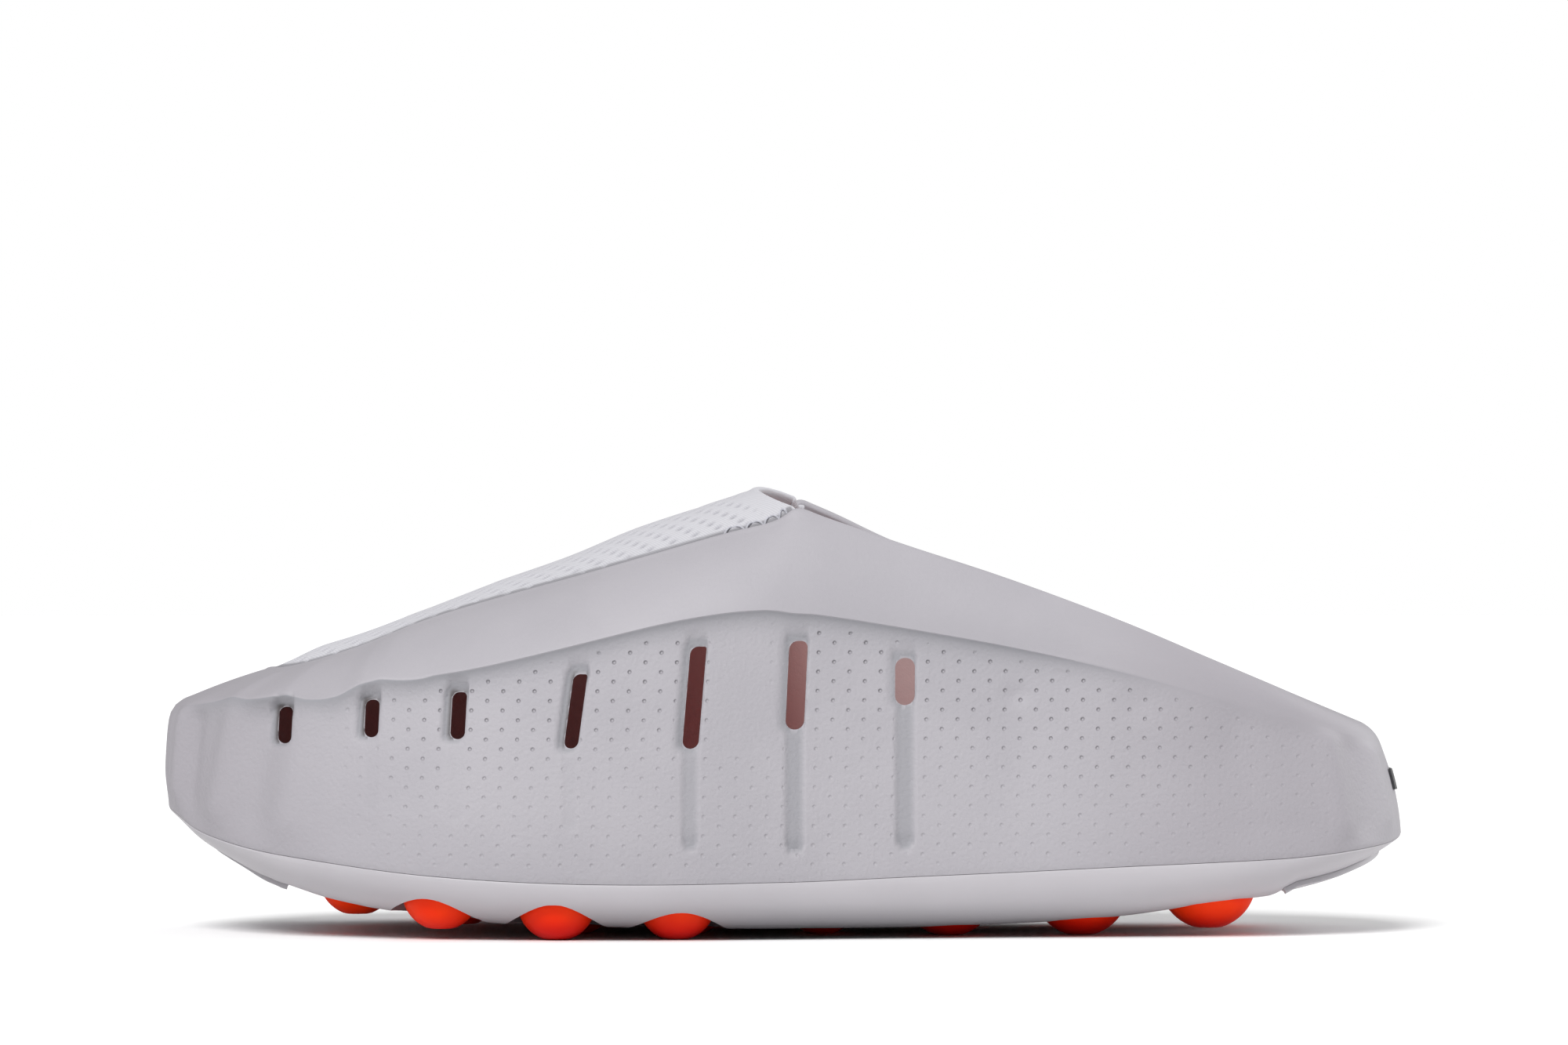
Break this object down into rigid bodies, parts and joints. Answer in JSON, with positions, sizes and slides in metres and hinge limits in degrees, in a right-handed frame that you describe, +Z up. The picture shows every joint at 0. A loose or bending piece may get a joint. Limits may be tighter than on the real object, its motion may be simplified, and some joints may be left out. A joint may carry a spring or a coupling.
{
  "type": "sneaker mule",
  "caption": "Slip-on left shoe with a slotted moulded foam cage, a knitted vamp, a dished footbed and a rocker sole standing on round cushioning studs.",
  "frame": {"origin": "middle of the outline in plan, on the floor that the stud treads stand on", "axes": "+Z up, +X towards the heel, toe at -X, outer (lateral) side at -Y"},
  "size_m": [0.3, 0.1104, 0.1092],
  "materials": {
    "cage_foam": "matte moulded foam with fine grain, lavender grey",
    "knit": "fine knit with rows of small dimples, cool light grey",
    "footbed_foam": "matte crimson foam",
    "sole_foam": "smooth satin foam, pale grey",
    "pad_rubber": "satin rubber, pale grey",
    "stud_foam": "satin orange red foam",
    "badge_rubber": "matte dark rubber"
  },
  "bodies": {
    "root": {"upper": "cage_foam", "vamp": "knit", "insole": "footbed_foam", "sole": "sole_foam", "toe_pad": "pad_rubber", "heel_pad": "pad_rubber", "heel_badge": "badge_rubber", "stud_01": "stud_foam", "stud_02": "stud_foam", "stud_03": "stud_foam", "stud_04": "stud_foam", "stud_05": "stud_foam", "stud_06": "stud_foam", "stud_07": "stud_foam", "stud_08": "stud_foam", "stud_09": "stud_foam", "stud_10": "stud_foam", "stud_11": "stud_foam", "stud_12": "stud_foam", "stud_13": "stud_foam", "stud_14": "stud_foam", "stud_15": "stud_foam", "stud_16": "stud_foam", "stud_17": "stud_foam", "stud_18": "stud_foam", "stud_19": "stud_foam", "stud_20": "stud_foam", "stud_21": "stud_foam", "stud_22": "stud_foam"}
  },
  "joints": []
}
